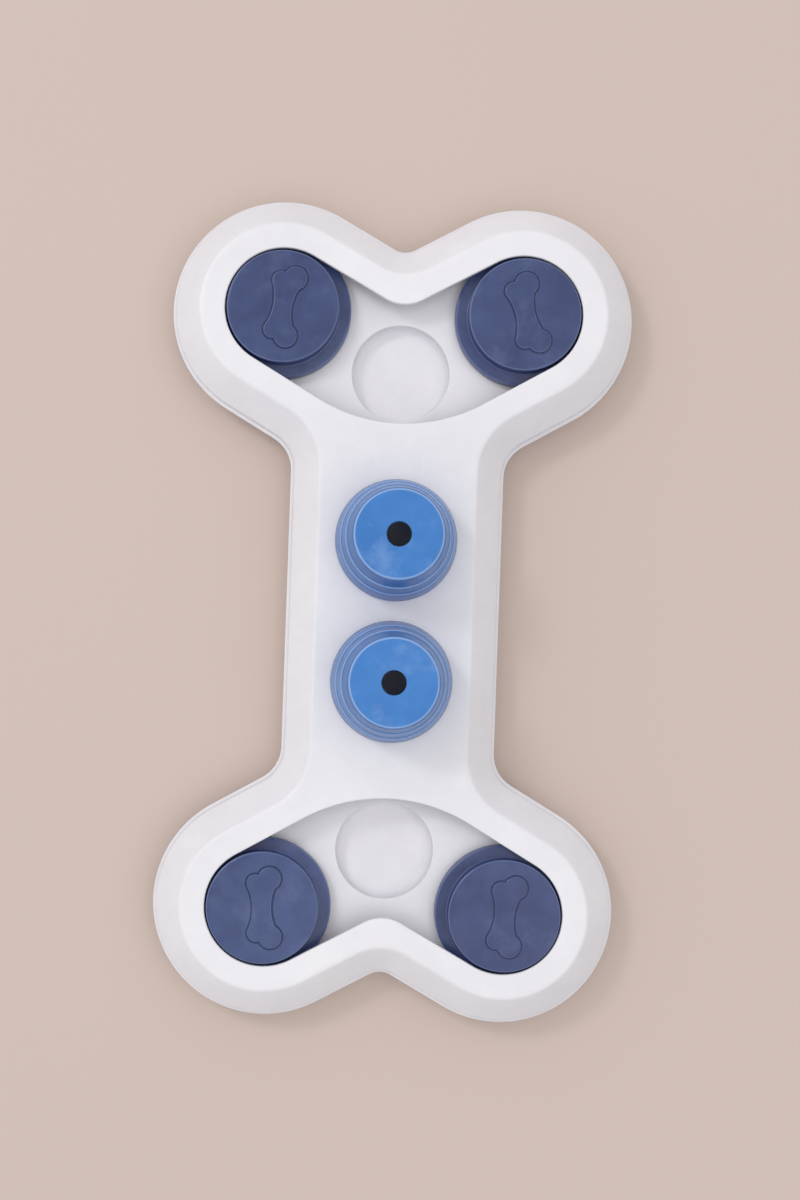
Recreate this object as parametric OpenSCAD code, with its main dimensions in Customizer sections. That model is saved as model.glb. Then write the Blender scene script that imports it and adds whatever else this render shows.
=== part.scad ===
// Bone-shaped treat puzzle for a dog: two screwed shells, four sliding pucks and two lift-off cones.
// Millimetres, +Z up. Origin: middle of the toy, on the floor that its rubber feet stand on.

/* [Outline] */
// Length over the four lobes
body_l = 310; // [258:1:372]
// Width over the lobes
body_w = 175; // [146:1:210]
// Width of the lobe outside the round corner of its opening
lobe_band = 20.4; // [19:0.1:24.5]
// Width of the waist between the lobes
waist_w = 81.2; // [72:0.1:97.4]
// Slant of the edges that run into the end notches
notch_angle = 29; // [26:0.5:32]
// Slant of the edges that run into the waist
waist_angle = 30; // [28:0.5:32]
// Radius in the bottom of the end notches
notch_r = 8; // [6:0.5:10]
// Radius where the lobes run into the waist
waist_r = 14; // [10:0.5:18]

/* [Shells] */
// Height of the cover's flat top above the floor
top_z = 25; // [23.5:0.1:30]
// Height of the tray deck that the pucks slide on
deck_z = 12.8; // [11.5:0.1:14]
// Wall of the cover
cover_wall = 2.4; // [2:0.1:3]
// Wall of the tray
tray_wall = 2.2; // [1.8:0.1:2.7]
// How far the tray's rim stands out past the cover
rim_step = 1.4; // [0.8:0.1:2.4]
// Dark joint line between the rim and the cover
seam_gap = 0.4; // [0.3:0.1:0.8]
// Upright edge of the cover, below its slope
skirt_h = 2.4; // [1.5:0.1:4]
// Plan width of the cover's sloped band
slope_w = 9.8; // [7:0.1:11.8]
// Gap between the underside of the tray's wall and the floor
floor_gap = 1.8; // [1:0.1:2.6]

/* [Openings] */
// Play of a knob in the round corner of its opening
knob_play = 1.15; // [0.9:0.05:2]
// Radius of the cover's tongue in the notch side of the opening
tongue_r = 14.2; // [11:0.1:17]
// Radius of the long arc on the waist side of the opening
arc_r = 61.5; // [56:0.5:68]
// Set-back of the guide rib behind the opening's edge
rib_setback = 1.2; // [0.8:0.1:2]
// Thickness of the guide rib
rib_t = 1.8; // [1.2:0.1:2.4]

/* [Pucks] */
// Radius of the puck's knob
knob_r = 21.05; // [17.5:0.05:25.3]
// How far the cover laps over the flange round a knob
flange_lap = 3.5; // [2.5:0.1:4.2]
// Thickness of the flange
flange_h = 5; // [4:0.1:6]
// Rise of the knob's top above the cover
knob_proud = 0.4; // [0:0.1:1.5]
// Wall of the puck
puck_wall = 2; // [1.5:0.1:3]
// Gap between a moving piece and what it rests or runs on
slide_gap = 0.3; // [0.3:0.05:0.5]
// Direction of a puck's travel, from the X axis
slide_angle = 27.5; // [25:0.5:30]

/* [Raised bones] */
// Length of the bone on a knob
emblem_l = 30.6; // [24:0.1:33]
// Height of the bone
emblem_h = 0.5; // [0.3:0.1:1]
// Width of the bone's waist
emblem_waist = 7; // [5:0.1:8]
// Radius of its larger pair of lobes
emblem_big_r = 4.4; // [3.8:0.1:5]
// Radius of its smaller pair of lobes
emblem_small_r = 3.3; // [2.8:0.1:4]

/* [Dishes] */
// Flat deck between a corner dish and the edge of its opening
dish_margin = 3.7; // [2.5:0.1:6]
// Depth of each treat dish
dish_depth = 6.4; // [4.8:0.1:7.7]
// Distance of the middle dishes from the waist side of the opening
mid_dish_in = 20.4; // [19:0.1:24]
// Width of the ledge inside a cone's foot, round the hollow under it
well_ledge = 6.4; // [4:0.1:8]
// Depth of the hollows under the cones
well_depth = 5; // [3:0.1:6]

/* [Cones] */
// Radius of a cone at its foot
cone_r = 22.9; // [19.1:0.1:27.5]
// Height of a cone
cone_h = 31; // [25.8:0.1:38]
// How much smaller a cone's flat top is than its foot, in radius
cone_draw = 6.9; // [5.5:0.1:8.5]
// Wall of a cone
cone_wall = 1.8; // [1.4:0.1:2.4]
// Radius of the scent hole in a cone's top
scent_r = 4.45; // [3:0.05:6]
// Gap between the feet of the two cones
cone_gap = 7.2; // [5:0.1:14]

/* [Fixings] */
// Radius of a rubber foot
foot_r = 6; // [5:0.1:7.2]
// Depth of the socket that holds a foot
foot_socket = 2; // [1.5:0.1:3]
// Shank radius of a screw
screw_r = 1.5; // [1.25:0.05:1.8]
// Wall of a screw boss
boss_wall = 2.4; // [1.8:0.1:3]
// Distance of a screw's end below the cover's ceiling
screw_short = 2; // [1:0.1:6]

/* [Hidden] */
$fn = 72;
cut = 1;                  // how far a cutting solid runs past a face
fit = 0.1;                // gap between fitted pieces that don't move
nick = 0.01;              // lets a cut start just above a face that it shares
arc_step = 7.5;           // degrees of arc per outline point

corner_r = knob_r + knob_play;
lobe_r = corner_r + lobe_band;
lobe_x = body_w / 2 - lobe_r;
lobe_y = body_l / 2 - lobe_r;
waist_x = waist_w / 2;
star_y = 0.8 * lobe_y;    // a place in each half from which its whole outline is seen

rim_top = deck_z - seam_gap;
cover_in = rim_step + cover_wall;          // cover's inner face, in from the rim
crease_in = rim_step + slope_w;            // top of the slope, in from the rim
skirt_top = deck_z + skirt_h;
skirt_in_top = skirt_top - cover_wall / 2; // where the cover's inner face begins to slope
edge_round = 0.6;                          // blunting of the slope's two edges
ceiling_z = top_z - cover_wall;            // underside of the cover's top
tray_draft = 0.8;                          // lean of the tray's wall over its height
tray_in = rim_step + tray_draft;           // foot of the tray's wall, in from the rim
upstand_t = 1.6;                           // tray's upstand inside the cover
underrib_t = 1.6;                          // ribs under the tray's deck

flange_r = corner_r + flange_lap;
flange_z = deck_z + slide_gap;
flange_top = flange_z + flange_h;
knob_top = top_z + knob_proud;
knob_edge = 0.8;                           // rounding of the knob's top edge
flange_chamfer = 0.7;
park_x = lobe_x + knob_play / 2 * cos(slide_angle);
park_y = lobe_y + knob_play / 2 * sin(slide_angle);

dish_r = corner_r - dish_margin;
dish_round = 4.5;
well_r = cone_r - well_ledge;
well_round = 3;
cone_y = cone_r + cone_gap / 2;
TIERS = [[0, 0], [0.36, 0.8], [0.38, 1.7], [0.72, 2.8], [0.76, 4.2]]; // share of height, draw-in
cone_edge = [0.8, 1.4];                    // width and height of the slant round a cone's top

boss_hole = screw_r + 0.2;
screw_fit = 0.05;
boss_r = screw_r + boss_wall;
tray_boss_r = boss_r + 0.6;
head_r = 2 * screw_r;
head_h = 2;
head_slot = 0.9;
head_z = floor_gap + head_h + 0.8;         // face that the screw heads pull against
screw_l = ceiling_z - screw_short - head_z;
foot_wall = 2;
foot_boss_r = foot_r + foot_wall;
foot_z = floor_gap + foot_socket;
foot_blunt = 0.6;
screw_ring_r = lobe_r - cover_in - fit - upstand_t - tray_boss_r - 2 * fit;
foot_ring_r = lobe_r - tray_in - tray_wall / 2 - foot_boss_r;
screw_ring_angle = 26;
foot_ring_angle = 80;
waist_foot_x = waist_x - tray_in - tray_wall / 2 - foot_boss_r;

SIDES = [-1, 1];
CORNERS = [[-1, 1], [1, 1], [-1, -1], [1, -1]];
EMBLEM_TURN = [-12, 15, -2, -8];           // how each puck lies turned, in CORNERS' order

// ---- outlines -------------------------------------------------------------------------------

// Points of an arc about c, from angle a to angle b, both ends included
function arc(c, r, a, b) =
    let (n = max(1, ceil(abs(b - a) / arc_step)))
    [for (i = [0:n]) let (t = a + (b - a) * i / n) c + r * [cos(t), sin(t)]];

// Middle of a circle on the Y axis that touches the notch edge of a shape with corner radius r
function notch_mid(r, round) =
    [0, lobe_y - lobe_x * tan(notch_angle) + (r + round) / cos(notch_angle)];

// Middle of the circle that rounds the rim into the waist
function waist_mid() =
    let (x = waist_x + waist_r)
    [x, lobe_y + ((x - lobe_x) * sin(waist_angle) - lobe_r - waist_r) / cos(waist_angle)];

// First quarter of the toy's rim, from the end notch to the waist, moved out by d
function bone_quarter(d) = concat(
    arc(notch_mid(lobe_r, notch_r), notch_r - d, -90, notch_angle - 90),
    arc([lobe_x, lobe_y], lobe_r + d, 90 + notch_angle, waist_angle - 90),
    arc(waist_mid(), waist_r - d, 90 + waist_angle, 180),
    [[waist_x + d, 0]]);

// The quarter and its three mirror images, as one closed ring
function bone_ring(d) =
    let (q = bone_quarter(d), k = len(q) - 1)
    concat(
        [for (i = [0:k - 1]) q[i]],
        [for (i = [0:k - 1]) [q[k - i].x, -q[k - i].y]],
        [for (i = [0:k - 1]) -q[i]],
        [for (i = [0:k - 1]) [-q[k - i].x, q[k - i].y]]);

// Middle of the long arc that touches the waist edges of an opening
function arc_mid() =
    [0, lobe_y - (lobe_x * sin(waist_angle) + corner_r - arc_r) / cos(waist_angle)];

// Right half of an opening at the upper end, moved out by d
function opening_half(d) = concat(
    arc(notch_mid(corner_r, tongue_r), tongue_r - d, -90, notch_angle - 90),
    arc([lobe_x, lobe_y], corner_r + d, 90 + notch_angle, waist_angle - 90),
    arc(arc_mid(), arc_r + d, waist_angle - 90, -90));

function opening_ring(d) =
    let (h = opening_half(d), k = len(h) - 1)
    concat(h, [for (i = [1:k - 1]) [-h[k - i].x, h[k - i].y]]);

// ---- places that follow from the outlines ---------------------------------------------------

// Four points round the lobes, on a circle of radius r, at an angle from the X axis
function on_lobes(r, angle) = [
    for (c = CORNERS)
        [c.x * (lobe_x + r * cos(angle)), c.y * (lobe_y + r * sin(angle)), 0]];

channel_low = arc_mid().y - arc_r;         // where an opening comes nearest to the waist
mid_dish_y = channel_low + mid_dish_in;
waist_screw_y = (channel_low - rib_setback - rib_t + cone_y + well_r + cover_wall) / 2;

// ---- building blocks ------------------------------------------------------------------------

module bone_plate(d, z0, z1) {
    translate([0, 0, z0])
        linear_extrude(height = z1 - z0)
            polygon(bone_ring(d));
}

// A solid through bone outlines, given from the bottom up as pairs of offset and height
module bone_loft(levels) {
    n = len(bone_ring(0));
    k = n / 4;
    last = len(levels) - 1;
    wall = [for (l = levels) for (p = bone_ring(l[0])) [p.x, p.y, l[1]]];
    hubs = [for (l = [levels[0], levels[last]]) for (s = [1, -1]) [0, s * star_y, l[1]]];
    sides = [for (j = [0:last - 1]) for (i = [0:n - 1])
        let (a = j * n + i, b = j * n + (i + 1) % n)
        [a, b, b + n, a + n]];
    // each cap is two fans that meet on the line across the waist
    fans = [for (i = [0:n - 1]) let (h = (i >= k && i < 3 * k) ? 1 : 0) [h, i, (i + 1) % n]];
    halves = concat(fans, [[0, k, 3 * k], [1, 3 * k, k]]);
    h0 = len(wall);
    base = [for (f = halves) [h0 + f[0], f[2], f[1]]];
    lid = [for (f = halves) [h0 + 2 + f[0], last * n + f[1], last * n + f[2]]];
    polyhedron(points = concat(wall, hubs), faces = concat(sides, base, lid));
}

module opening_plate(d, z0, z1) {
    translate([0, 0, z0])
        linear_extrude(height = z1 - z0)
            polygon(opening_ring(d));
}

module both_ends() {
    children();
    rotate([0, 0, 180])
        children();
}

// A round bowl whose mouth is at z = 0: its hollow, grown by w for its outer face
module bowl(r, depth, round, w) {
    rotate_extrude()
        difference() {
            translate([0, -depth - w])
                square([r + w, depth + w]);
            translate([r + w - round, -depth - w])
                difference() {
                    square([round + cut, round]);
                    translate([0, round])
                        circle(r = round);
                }
        }
}

module drill(r, z0, z1) {
    translate([0, 0, z0])
        cylinder(r = r, h = z1 - z0);
}

// ---- places ---------------------------------------------------------------------------------

module at_screws() {
    for (p = on_lobes(screw_ring_r, screw_ring_angle))
        translate(p)
            children();
    for (s = SIDES)
        translate([0, s * waist_screw_y, 0])
            children();
}

module at_dishes() {
    for (c = CORNERS)
        translate([c.x * lobe_x, c.y * lobe_y, deck_z])
            children();
    for (s = SIDES)
        translate([0, s * mid_dish_y, deck_z])
            children();
}

module at_wells() {
    for (s = SIDES)
        translate([0, s * cone_y, top_z])
            children();
}

// ---- shells ---------------------------------------------------------------------------------

module cover_skin() {
    bone_loft([
        [-rim_step, deck_z],
        [-rim_step, skirt_top - edge_round],
        [-rim_step - edge_round / 2, skirt_top],
        [-crease_in + edge_round / 2, top_z - edge_round],
        [-crease_in - edge_round, top_z]]);
}

module cover_hollow() {
    bone_loft([
        [-cover_in, deck_z - cut],
        [-cover_in, skirt_in_top],
        [-crease_in - cover_wall / 2, ceiling_z]]);
}

// Everything that hangs from the cover's ceiling
module cover_inside() {
    both_ends()
        difference() {
            opening_plate(rib_setback + rib_t, flange_top + slide_gap, top_z);
            opening_plate(rib_setback, flange_top, top_z + cut);
        }
    at_screws()
        drill(boss_r, deck_z - 2 * cut, top_z);
    at_wells()
        bowl(well_r, well_depth, well_round, cover_wall);
}

module top_cover() {
    color("whitesmoke")
        difference() {
            cover_skin();
            difference() {
                cover_hollow();
                cover_inside();
            }
            both_ends()
                opening_plate(0, deck_z, top_z + cut);
            at_wells()
                translate([0, 0, nick])
                    bowl(well_r, well_depth, well_round, 0);
            at_screws()
                drill(screw_r + screw_fit, deck_z - cut, head_z + screw_l + cut);
        }
}

// The tray's rim, wall and deck, open below
module tray_shell() {
    difference() {
        union() {
            bone_loft([
                [-tray_in, floor_gap],
                [-rim_step, rim_top - tray_wall]]);
            bone_plate(0, rim_top - tray_wall, rim_top);
            bone_plate(-cover_in - fit, rim_top - cut, deck_z);
        }
        bone_loft([
            [-tray_in - tray_wall, floor_gap - cut],
            [-rim_step - tray_wall, deck_z - tray_wall]]);
    }
    // upstand that centres the cover
    difference() {
        bone_plate(-cover_in - fit, deck_z - cut, skirt_in_top);
        bone_plate(-cover_in - fit - upstand_t, deck_z - 2 * cut, skirt_in_top + cut);
    }
}

// Ribs under the deck: two that run the waist from dish to dish, and one across each end
module tray_ribs() {
    rib_z = head_z + 1;
    rib_x = tray_boss_r + 7;
    for (s = SIDES) {
        translate([s * rib_x - underrib_t / 2, -mid_dish_y, rib_z])
            cube([underrib_t, 2 * mid_dish_y, deck_z - rib_z - cut]);
        translate([-lobe_x, s * lobe_y - underrib_t / 2, rib_z])
            cube([2 * lobe_x, underrib_t, deck_z - rib_z - cut]);
    }
}

module base_tray() {
    color("gainsboro")
        difference() {
            union() {
                tray_shell();
                tray_ribs();
                at_dishes()
                    bowl(dish_r, dish_depth, dish_round, tray_wall);
                at_screws()
                    drill(tray_boss_r, head_z, deck_z - cut);
                at_feet()
                    drill(foot_boss_r, floor_gap, deck_z - cut);
            }
            at_dishes()
                translate([0, 0, nick])
                    bowl(dish_r, dish_depth, dish_round, 0);
            at_screws()
                drill(boss_hole, head_z - cut, deck_z + cut);
            at_feet()
                drill(foot_r + fit, floor_gap - cut, foot_z);
        }
}

// ---- moving pieces --------------------------------------------------------------------------

// Flat bone of four lobes and two hollow flanks; the pair on the right is the larger
module emblem_shape() {
    big_at = [3.2, emblem_l / 2 - emblem_big_r];
    small_at = [-2.5, big_at.y - 1.6];
    flank_r = 19;
    out = 0.7;            // where a flank leaves a lobe, as a share of its radius
    for (s = SIDES) {
        translate([big_at.x, s * big_at.y])
            circle(r = emblem_big_r);
        translate([small_at.x, s * small_at.y])
            circle(r = emblem_small_r);
    }
    big_out = big_at + out * emblem_big_r * [1, -1];
    small_out = small_at + out * emblem_small_r * [-1, -1];
    ends = [big_out, big_at, small_at, small_out];
    difference() {
        polygon(concat(ends, [for (i = [3:-1:0]) [ends[i].x, -ends[i].y]]));
        for (s = SIDES)
            translate([s * (emblem_waist / 2 + flank_r), 0])
                circle(r = flank_r);
    }
}

module puck(i) {
    color("slateblue")
        translate([CORNERS[i].x * park_x, CORNERS[i].y * park_y, 0])
            rotate([0, 0, EMBLEM_TURN[i]])
                difference() {
                    union() {
                        rotate_extrude() {
                            polygon([
                                [0, flange_z], [flange_r, flange_z],
                                [flange_r, flange_top - flange_chamfer],
                                [flange_r - flange_chamfer, flange_top],
                                [0, flange_top]]);
                            translate([0, flange_top - cut])
                                square([knob_r, knob_top - knob_edge - flange_top + cut]);
                            translate([0, flange_top])
                                square([knob_r - knob_edge, knob_top - flange_top]);
                            translate([knob_r - knob_edge, knob_top - knob_edge])
                                circle(r = knob_edge);
                        }
                        translate([0, 0, knob_top - cut])
                            linear_extrude(height = cut + emblem_h)
                                emblem_shape();
                    }
                    drill(knob_r - puck_wall, flange_z - cut, knob_top - puck_wall);
                }
}

module puck_top_left() { puck(0); }
module puck_top_right() { puck(1); }
module puck_bottom_left() { puck(2); }
module puck_bottom_right() { puck(3); }

// Outer face of a cone in three tiers, as radius and height, drawn in by w
function cone_profile(w) = concat(
    [for (t = TIERS) [cone_r - t[1] - w, t[0] * cone_h]],
    [[cone_r - cone_draw + cone_edge[0] - w, cone_h - cone_edge[1]],
     [cone_r - cone_draw - w, cone_h]]);

module cone(side) {
    color("cornflowerblue")
        translate([0, side * cone_y, top_z + slide_gap])
            difference() {
                rotate_extrude()
                    polygon(concat([[0, 0]], cone_profile(0), [[0, cone_h]]));
                translate([0, 0, -cone_wall])
                    rotate_extrude()
                        polygon(concat([[0, 0]], cone_profile(cone_wall), [[0, cone_h]]));
                drill(scent_r, cone_h - cone_wall - cut, cone_h + cut);
            }
}

module cone_upper() { cone(1); }
module cone_lower() { cone(-1); }

// ---- fixings --------------------------------------------------------------------------------

// Where the six feet are: one in each lobe and two at the waist
FEET = concat(on_lobes(foot_ring_r, foot_ring_angle), [for (s = SIDES) [s * waist_foot_x, 0, 0]]);

module at_feet() {
    for (p = FEET)
        translate(p)
            children();
}

module foot(i) {
    color("dimgray")
        translate(FEET[i])
            rotate_extrude()
                polygon([
                    [0, 0], [foot_r - foot_blunt, 0], [foot_r, foot_blunt],
                    [foot_r, foot_z], [0, foot_z]]);
}

module foot_top_left() { foot(0); }
module foot_top_right() { foot(1); }
module foot_bottom_left() { foot(2); }
module foot_bottom_right() { foot(3); }
module foot_waist_left() { foot(4); }
module foot_waist_right() { foot(5); }

module case_screws() {
    color("silver")
        at_screws()
            difference() {
                union() {
                    drill(screw_r, head_z - cut, head_z + screw_l);
                    drill(head_r, head_z - head_h, head_z);
                }
                for (a = [0, 90])
                    rotate([0, 0, a])
                        translate([-head_r * 0.6, -head_slot / 2, head_z - head_h - cut])
                            cube([head_r * 1.2, head_slot, cut + head_h / 2]);
            }
}

top_cover();
base_tray();
puck_top_left();
puck_top_right();
puck_bottom_left();
puck_bottom_right();
cone_upper();
cone_lower();
foot_top_left();
foot_top_right();
foot_bottom_left();
foot_bottom_right();
foot_waist_left();
foot_waist_right();
case_screws();
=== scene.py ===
# %% [markdown]
# # A bone-shaped treat puzzle for a dog
# The real toy has four kinds of moulding: an off-white tray on rubber feet, an off-white cover that
# is screwed onto it, four navy pucks that slide in the cover's openings, and two blue cones that
# stand over hollows in its waist. The packed model fixes every size and place. This lesson gives
# each of those pieces a finer surface, with the soft edges that a mould leaves, and the finish of
# its plastic.

# %% Load the packed model
from math import atan2, ceil, cos, pi, radians, sin, tan

import bmesh
import bpy
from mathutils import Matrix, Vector
from mathutils.geometry import delaunay_2d_cdt


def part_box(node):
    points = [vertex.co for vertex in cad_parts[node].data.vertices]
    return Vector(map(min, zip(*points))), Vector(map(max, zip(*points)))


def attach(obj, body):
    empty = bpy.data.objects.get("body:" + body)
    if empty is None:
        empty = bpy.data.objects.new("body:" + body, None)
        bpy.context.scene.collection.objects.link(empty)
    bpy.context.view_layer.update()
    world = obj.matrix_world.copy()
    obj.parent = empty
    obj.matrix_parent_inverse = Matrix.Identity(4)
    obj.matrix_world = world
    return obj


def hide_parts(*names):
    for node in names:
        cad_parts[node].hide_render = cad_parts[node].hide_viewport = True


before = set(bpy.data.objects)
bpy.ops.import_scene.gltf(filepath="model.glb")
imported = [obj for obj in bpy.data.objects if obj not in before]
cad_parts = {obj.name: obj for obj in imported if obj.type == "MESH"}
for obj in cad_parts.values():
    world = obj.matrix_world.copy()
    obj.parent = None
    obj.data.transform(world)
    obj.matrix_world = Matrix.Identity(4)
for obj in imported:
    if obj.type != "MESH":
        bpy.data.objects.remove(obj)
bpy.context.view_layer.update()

MM = 0.001                      # sizes below are in millimetres, and Blender works in metres

# %% [markdown]
# The packed pieces already say where everything lies, so the sizes below are read from their boxes.
# Only what a box can't tell, such as the radius in a notch, is written down as a number.

# %% Read sizes from the packed pieces
def box_mm(node):
    """Lowest and highest corner of a packed piece, in millimetres."""
    low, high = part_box(node)
    return low / MM, high / MM


cover_low, cover_high = box_mm("top_cover")
tray_low, tray_high = box_mm("base_tray")
top_z = cover_high.z
deck_z = cover_low.z            # the cover's lower edge is level with the tray's deck
floor_gap = tray_low.z          # the rubber feet hold the tray this far off the floor
body_w = tray_high.x - tray_low.x
body_l = tray_high.y - tray_low.y
rim_step = (body_w - (cover_high.x - cover_low.x)) / 2      # how far the tray's rim stands out
print(f"toy {body_w:.1f} x {body_l:.1f} mm, deck at {deck_z:.1f}, top at {top_z:.1f}")

# %% [markdown]
# The photograph looks straight down from about 65 cm, with the toy a little off the picture's
# middle. A camera that is shifted, and not tilted, keeps the toy's sides parallel as the photograph
# does. Its place and shift are measured from how far the cones and pucks lean away from the point
# straight below the lens.

# %% Camera
EYE_MM = (-21.6, -20.4, 648.5)  # the lens, from the middle of the toy's footprint
TURN = 2.0                      # degrees that the toy lies turned in the picture
camera_data = bpy.data.cameras.new("camera")
camera_data.lens = 50
camera_data.sensor_width = 36
camera_data.shift_x = 0.055     # shares of the picture's longer side
camera_data.shift_y = 0.053
camera = bpy.data.objects.new("camera", camera_data)
camera.location = [v * MM for v in EYE_MM]
camera.rotation_euler = (0, 0, radians(TURN))
bpy.context.scene.collection.objects.link(camera)
bpy.context.scene.camera = camera
print("camera", [round(v, 4) for v in camera.location])

# %% [markdown]
# Every outline of the toy is made of arcs that run into each other without a corner: round lobes, a
# small round in each end notch and a wider one where the waist begins. Writing each arc as a centre,
# a radius and two angles keeps that exact, and moving the whole outline in or out only changes the
# radii. That is how one formula can give the rim, the crease of the slope and every step between.

# %% Arcs and the outline of the bone
STEP = 2.5                      # degrees of arc per point
lobe_r, notch_r, waist_r = 42.6, 8, 14
waist_x = 40.6                  # half the width of the waist
notch_angle, waist_angle = 29, 30    # degrees that the straight edges beside a lobe slant
lobe_x, lobe_y = body_w / 2 - lobe_r, body_l / 2 - lobe_r


def arc(centre, r, a, b):
    """Points of an arc from angle a to angle b in degrees, both ends included."""
    n = max(1, ceil(abs(b - a) / STEP))
    turns = [radians(a + (b - a) * i / n) for i in range(n + 1)]
    return [(centre[0] + r * cos(t), centre[1] + r * sin(t)) for t in turns]


def notch_mid(r, round_r):
    """Middle of a circle on the Y axis that touches the slanted edge of a notch."""
    away = (r + round_r) / cos(radians(notch_angle))
    return 0, lobe_y - lobe_x * tan(radians(notch_angle)) + away


def waist_mid():
    """Middle of the circle that runs a lobe into the waist."""
    x = waist_x + waist_r
    away = (x - lobe_x) * sin(radians(waist_angle)) - lobe_r - waist_r
    return x, lobe_y + away / cos(radians(waist_angle))


def bone(d):
    """The toy's rim as one closed ring, moved outwards by d."""
    quarter = arc(notch_mid(lobe_r, notch_r), notch_r - d, -90, notch_angle - 90)
    quarter += arc((lobe_x, lobe_y), lobe_r + d, 90 + notch_angle, waist_angle - 90)
    quarter += arc(waist_mid(), waist_r - d, 90 + waist_angle, 180)
    back = [(x, -y) for x, y in reversed(quarter[1:])]
    half = quarter + [(waist_x + d, 0)] + back
    return half + [(-x, -y) for x, y in half]


print("points round the rim:", len(bone(0)))

# %% [markdown]
# Each end of the cover has one wide opening in which two pucks run. It is round where a puck parks,
# has a tongue of the cover on the notch side, and one long flat arc on the waist side.

# %% The outline of an opening
corner_r, tongue_r, flat_r = 22.2, 14.2, 61.5


def opening(end):
    """A function that gives one end's opening, moved outwards by d. end is 1 or -1."""
    def outline(d):
        down = lobe_x * sin(radians(waist_angle)) + corner_r - flat_r
        flat_mid = 0, lobe_y - down / cos(radians(waist_angle))
        half = arc(notch_mid(corner_r, tongue_r), tongue_r - d, -90, notch_angle - 90)
        half += arc((lobe_x, lobe_y), corner_r + d, 90 + notch_angle, waist_angle - 90)
        half += arc(flat_mid, flat_r + d, waist_angle - 90, -90)
        ring = half + [(-x, y) for x, y in reversed(half[1:-1])]
        return [(end * x, end * y) for x, y in ring]
    return outline


def circle(x, y):
    """A function that gives a circle about x, y. Here d is its radius."""
    return lambda d: arc((x, y), d, 0, 360 - STEP)


print("points round an opening:", len(opening(1)(0)))

# %% [markdown]
# A moulded edge is never sharp, and the thin bright line that a soft edge catches is what makes the
# plastic look real. A Bevel modifier could round a finished mesh, but every edge would then need a
# weight of its own. So each wall is drawn as a cross-section first: a few corners, each with its own
# radius. The section is rounded here, and then swept round an outline.

# %% Round the corners of a cross-section
def rounded(section, steps=4):
    """Points of a section whose corners are (distance outwards, height, rounding)."""
    points = []
    for i, (x, z, r) in enumerate(section):
        if not r or i in (0, len(section) - 1):
            points.append((x, z))
            continue
        corner = Vector((x, z))
        back = (Vector(section[i - 1][:2]) - corner).normalized()
        ahead = (Vector(section[i + 1][:2]) - corner).normalized()
        half = back.angle(ahead) / 2
        middle = corner + (back + ahead).normalized() * r / sin(half)
        spokes = [corner + way * r / tan(half) - middle for way in (back, ahead)]
        start, end = (atan2(s.y, s.x) for s in spokes)
        sweep = (end - start + pi) % (2 * pi) - pi
        turns = [start + sweep * k / steps for k in range(steps + 1)]
        points += [(middle.x + r * cos(t), middle.y + r * sin(t)) for t in turns]
    return points


soft_corner = rounded([(0, 0, 0), (2, 0, 1), (2, 2, 0)], 2)
print("a square corner becomes", [(round(x, 2), round(z, 2)) for x, z in soft_corner])

# %% [markdown]
# This small builder keeps the points and faces of one piece. A sweep joins the rounded section's
# rings into walls. A floor fills the flat area that is left between an outer ring and any holes;
# Delaunay's method cuts such an area into triangles without a stray edge. A hollow is both: a sweep
# that ends near its middle, and a small floor that closes it. Boolean cuts could sink a hollow into
# a plate, but they leave slivers along a soft edge, which shade badly.

# %% A builder for moulded pieces
class Moulding:
    """The points and faces of one piece, in millimetres."""

    def __init__(self, name):
        self.name, self.points, self.faces = name, [], []

    def ring(self, outline, z):
        """Adds the points of an outline at one height. Returns their numbers."""
        first = len(self.points)
        self.points += [(x, y, z) for x, y in outline]
        return range(first, len(self.points))

    def sweep(self, outline, section, steps=4):
        """Walls of a section round an outline. Returns the first and the last ring."""
        rings = [self.ring(outline(d), z) for d, z in rounded(section, steps)]
        n = len(rings[0])
        for a, b in zip(rings, rings[1:]):
            self.faces += [(a[i], a[i - 1], b[i - 1], b[i]) for i in range(n)]
        return rings[0], rings[-1]

    def floor(self, loop, *holes):
        """A flat face inside one ring and outside the others."""
        loops = [[(Vector(self.points[i][:2]), i) for i in ring] for ring in (loop, *holes)]
        flat = [point for ring in loops for point, i in ring]
        index = [i for ring in loops for point, i in ring]
        edges = []
        for ring in loops:
            first, n = len(edges), len(ring)
            edges += [(first + k, first + (k + 1) % n) for k in range(n)]
        triangles_inside, tolerance = 1, 1e-6
        at, _, cut, origin, _, _ = delaunay_2d_cdt(flat, edges, [], triangles_inside, tolerance)
        for face in cut:
            middle = sum((at[v] for v in face), Vector((0, 0))) / len(face)
            if not any(inside(middle, [point for point, i in ring]) for ring in loops[1:]):
                self.faces.append(tuple(index[origin[v][0]] for v in face))

    def hollow(self, x, y, r, z, depth, edge, strip, steps):
        """A round hollow, with a rounded edge beside a flat strip. Returns the ring round the strip."""
        soft, core = 3, 1       # rounding at the foot of its wall, and radius of the floor that ends it
        hole, bottom = self.sweep(circle(x, y), [
            (r + strip, z, 0), (r, z, edge), (r, z - depth, soft), (core, z - depth, 0)], steps)
        self.floor(bottom)
        return hole

    def mesh(self):
        """The points and faces as a mesh, in metres."""
        mesh = bpy.data.meshes.new(self.name)
        mesh.from_pydata([[v * MM for v in p] for p in self.points], [], self.faces)
        return mesh


def inside(point, ring):
    """Whether a point lies inside a closed ring: a line from it crosses an odd number of edges."""
    crossed = 0
    for a, b in zip(ring, ring[1:] + ring[:1]):
        if (a.y > point.y) != (b.y > point.y):
            crossed += point.x < a.x + (point.y - a.y) * (b.x - a.x) / (b.y - a.y)
    return crossed % 2 == 1


test = Moulding("test")
test.floor(test.ring(circle(0, 0)(2), 0), test.ring(circle(0, 0)(1), 0))
print("a flat washer is", len(test.faces), "triangles")

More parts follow.
